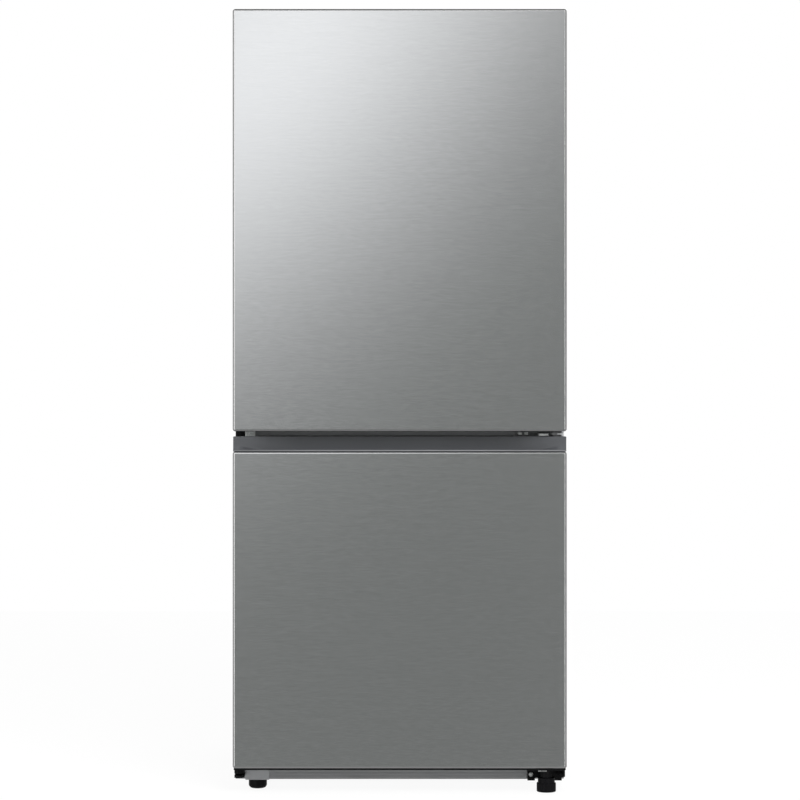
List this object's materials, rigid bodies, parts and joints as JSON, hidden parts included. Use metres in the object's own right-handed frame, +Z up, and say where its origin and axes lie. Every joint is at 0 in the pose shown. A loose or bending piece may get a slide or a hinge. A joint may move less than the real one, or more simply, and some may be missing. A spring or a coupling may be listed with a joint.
{
  "type": "counter-depth refrigerator",
  "caption": "Counter-depth bottom-freezer refrigerator with brushed steel doors hinged on the right, a scooped grip band between them, glass shelves, drawers and door bins.",
  "frame": {"origin": "on the floor, under the middle of the refrigerator's width and depth", "axes": "+Z up, +X to the right of someone who faces the doors, +Y to the wall behind; the doors face -Y"},
  "size_m": [0.705, 0.69, 1.6685],
  "materials": {
    "cabinet_paint": "satin",
    "galvanised": "satin",
    "foam": "matte",
    "liner_white": "gloss",
    "door_steel": "brushed",
    "grip_grey": "satin",
    "cap_grey": "satin",
    "kick_grey": "satin",
    "black_metal": "satin",
    "black_plastic": "satin",
    "zinc": "satin",
    "gasket_grey": "matte",
    "black_rubber": "matte",
    "nylon": "satin",
    "clear_plastic": "gloss",
    "shelf_glass": "gloss",
    "shelf_trim": "satin",
    "lamp": "gloss",
    "copper": "satin",
    "aluminium": "satin"
  },
  "bodies": {
    "cabinet": {"cabinet_shell": "cabinet_paint", "back_panel": "galvanised", "base_pan": "galvanised", "cabinet_foam": "foam", "fridge_liner": "liner_white", "freezer_liner": "liner_white", "front_rails": "cabinet_paint", "kick_plate": "kick_grey", "left_foot_bracket": "cabinet_paint", "hinge_hole_covers": "black_plastic", "top_hinge_bracket": "zinc", "top_hinge_cover": "cap_grey", "middle_hinge_bracket": "black_metal", "bottom_hinge_bracket": "black_metal", "hinge_pins": "zinc", "hinge_screws": "zinc", "roller_brackets": "galvanised", "compressor": "black_metal", "compressor_grommets": "black_rubber", "condenser": "copper", "condenser_fan_frame": "black_plastic", "drain_pan": "black_plastic", "machine_cover": "galvanised", "cord_gland": "black_rubber", "shelf_trims": "shelf_trim", "air_duct": "liner_white", "ceiling_lamp": "lamp", "evaporator": "aluminium", "evaporator_cover": "liner_white", "evaporator_fan_motor": "black_plastic", "shelf_glass_1": "shelf_glass", "shelf_glass_2": "shelf_glass", "shelf_glass_3": "shelf_glass"},
    "fridge_door": {"fridge_door_panel": "door_steel", "fridge_door_top_cap": "cap_grey", "fridge_door_grip_cap": "grip_grey", "fridge_door_foam": "foam", "fridge_door_liner": "liner_white", "fridge_door_gasket": "gasket_grey", "fridge_door_bushes": "nylon", "door_bin_1": "clear_plastic", "door_bin_2": "clear_plastic", "door_bin_3": "clear_plastic"},
    "freezer_door": {"freezer_door_panel": "door_steel", "freezer_door_grip_cap": "grip_grey", "freezer_door_bottom_cap": "cap_grey", "freezer_door_foam": "foam", "freezer_door_liner": "liner_white", "freezer_door_gasket": "gasket_grey", "freezer_door_bushes": "nylon"},
    "crisper_drawer": {"crisper_drawer": "clear_plastic"},
    "freezer_drawer_bottom": {"freezer_drawer_bottom": "clear_plastic"},
    "freezer_drawer_middle": {"freezer_drawer_middle": "clear_plastic"},
    "freezer_drawer_top": {"freezer_drawer_top": "clear_plastic"},
    "front_foot_left": {"front_foot_left": "black_plastic"},
    "front_foot_right": {"front_foot_right": "black_plastic"},
    "rear_roller_left": {"rear_roller_left": "black_plastic"},
    "rear_roller_right": {"rear_roller_right": "black_plastic"},
    "condenser_fan": {"condenser_fan": "black_plastic"},
    "evaporator_fan": {"evaporator_fan": "nylon"}
  },
  "joints": [
    {"name": "fridge_door_hinge", "type": "hinge", "parent": "cabinet", "child": "fridge_door", "pos_m": [0.3325, -0.309, 0.766], "axis": [0, 0, 1], "range_deg": [0, 130]},
    {"name": "freezer_door_hinge", "type": "hinge", "parent": "cabinet", "child": "freezer_door", "pos_m": [0.3325, -0.309, 0.055], "axis": [0, 0, 1], "range_deg": [0, 130]},
    {"name": "crisper_slide", "type": "slide", "parent": "cabinet", "child": "crisper_drawer", "axis": [0, -1, 0], "range_m": [0, 0.018]},
    {"name": "freezer_drawer_bottom_slide", "type": "slide", "parent": "cabinet", "child": "freezer_drawer_bottom", "axis": [0, -1, 0], "range_m": [0, 0.026]},
    {"name": "freezer_drawer_middle_slide", "type": "slide", "parent": "cabinet", "child": "freezer_drawer_middle", "axis": [0, -1, 0], "range_m": [0, 0.026]},
    {"name": "freezer_drawer_top_slide", "type": "slide", "parent": "cabinet", "child": "freezer_drawer_top", "axis": [0, -1, 0], "range_m": [0, 0.026]},
    {"name": "left_foot_turn", "type": "hinge", "parent": "cabinet", "child": "front_foot_left", "pos_m": [-0.3046, -0.25, 0], "axis": [0, 0, 1], "continuous": true},
    {"name": "right_foot_turn", "type": "hinge", "parent": "cabinet", "child": "front_foot_right", "pos_m": [0.3117, -0.3, 0], "axis": [0, 0, 1], "continuous": true},
    {"name": "left_roller_spin", "type": "hinge", "parent": "cabinet", "child": "rear_roller_left", "pos_m": [-0.3, 0.3, 0.015], "axis": [1, 0, 0], "continuous": true},
    {"name": "right_roller_spin", "type": "hinge", "parent": "cabinet", "child": "rear_roller_right", "pos_m": [0.3, 0.3, 0.015], "axis": [1, 0, 0], "continuous": true},
    {"name": "condenser_fan_spin", "type": "hinge", "parent": "cabinet", "child": "condenser_fan", "pos_m": [0.025, 0.249, 0.1115], "axis": [1, 0, 0], "continuous": true},
    {"name": "evaporator_fan_spin", "type": "hinge", "parent": "cabinet", "child": "evaporator_fan", "pos_m": [0, 0.24, 0.653], "axis": [0, 1, 0], "continuous": true}
  ]
}
